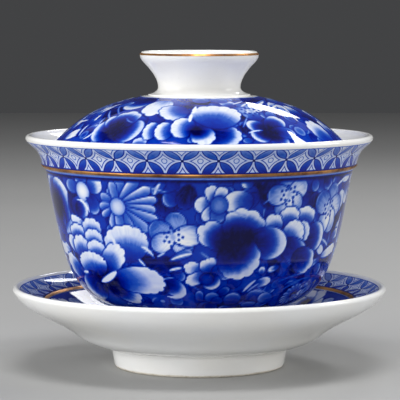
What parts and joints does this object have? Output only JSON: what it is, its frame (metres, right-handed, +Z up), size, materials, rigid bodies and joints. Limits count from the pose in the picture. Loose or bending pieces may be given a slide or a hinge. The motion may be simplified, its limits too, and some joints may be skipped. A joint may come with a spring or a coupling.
{
  "type": "gaiwan",
  "caption": "Lidded porcelain tea bowl on a footed saucer: flared bowl with a moulded ledge, domed lid with a hollow ring knob, blue floral painting, gilt lines.",
  "frame": {"origin": "centre of the saucer's foot on the surface it stands on", "axes": "+Z up along the common axis of saucer, bowl and lid; the piece is round, so +X and +Y are free, and -Y faces the viewer of the painted front"},
  "size_m": [0.108, 0.108, 0.0911],
  "materials": {
    "saucer_dish_finish": "glossy",
    "saucer_foot_ring_finish": "glossy",
    "saucer_gilt_line_finish": "worn satin gilding",
    "bowl_wall_finish": "glossy",
    "bowl_foot_ring_finish": "glossy",
    "bowl_gilt_band_finish": "worn satin gilding",
    "lid_dome_finish": "glossy",
    "lid_knob_finish": "glossy",
    "lid_knob_gilt_line_finish": "worn satin gilding"
  },
  "bodies": {
    "saucer": {"saucer_dish": "saucer_dish_finish", "saucer_foot_ring": "saucer_foot_ring_finish", "saucer_gilt_line": "saucer_gilt_line_finish"},
    "bowl": {"bowl_wall": "bowl_wall_finish", "bowl_foot_ring": "bowl_foot_ring_finish", "bowl_gilt_band": "bowl_gilt_band_finish"},
    "lid": {"lid_dome": "lid_dome_finish", "lid_knob": "lid_knob_finish", "lid_knob_gilt_line": "lid_knob_gilt_line_finish"}
  },
  "joints": [
    {"name": "bowl_lift", "type": "slide", "parent": "saucer", "child": "bowl", "axis": [0, 0, 1], "range_m": [0, 0.08]},
    {"name": "lid_lift", "type": "slide", "parent": "bowl", "child": "lid", "axis": [0, 0, 1], "range_m": [0, 0.06]}
  ]
}
